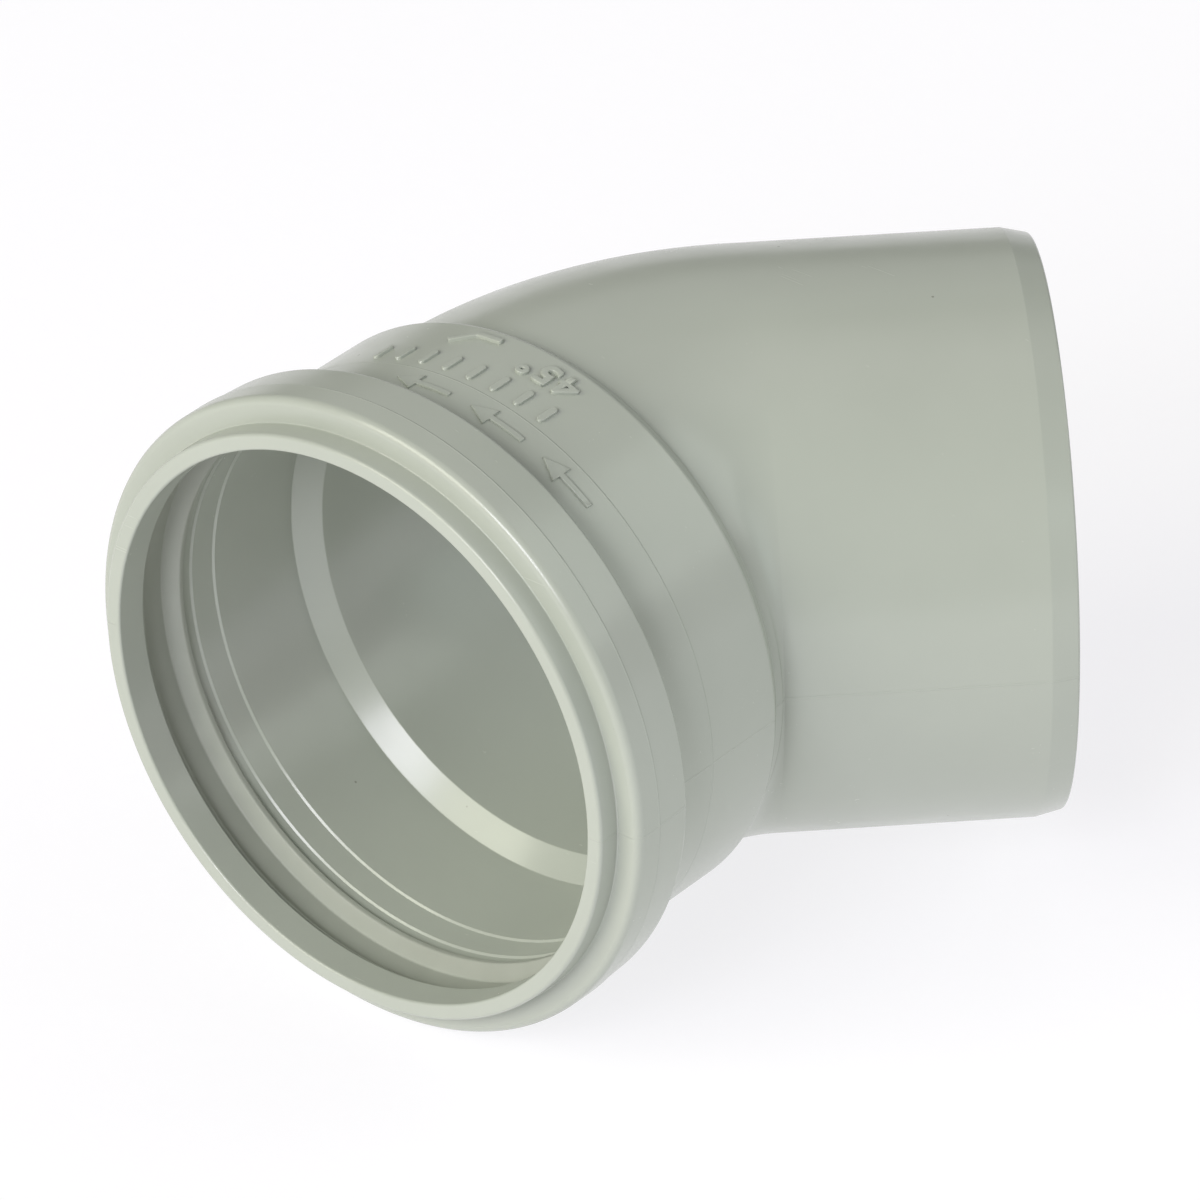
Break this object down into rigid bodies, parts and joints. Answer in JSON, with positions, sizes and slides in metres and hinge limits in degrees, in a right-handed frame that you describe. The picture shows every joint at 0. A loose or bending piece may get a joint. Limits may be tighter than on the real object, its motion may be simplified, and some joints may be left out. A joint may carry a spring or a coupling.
{
  "type": "pvc drain elbow",
  "caption": "45 degree rigid PVC pipe elbow with a ring-seal socket at one end and a plain chamfered spigot at the other.",
  "frame": {"origin": "centre of the socket's mouth, on the socket's axis", "axes": "+Y into the socket along its axis; the spigot leaves in the XY plane, 45 degrees from +Y towards +X; +Z is normal to the bend's plane, up when the elbow lies on its side"},
  "size_m": [0.145, 0.1592, 0.1184],
  "materials": {
    "rigid_pvc": "semi-gloss, as moulded",
    "seal_elastomer": "satin, as moulded"
  },
  "bodies": {
    "root": {"elbow_body": "rigid_pvc", "seal_ring": "seal_elastomer"}
  },
  "joints": []
}
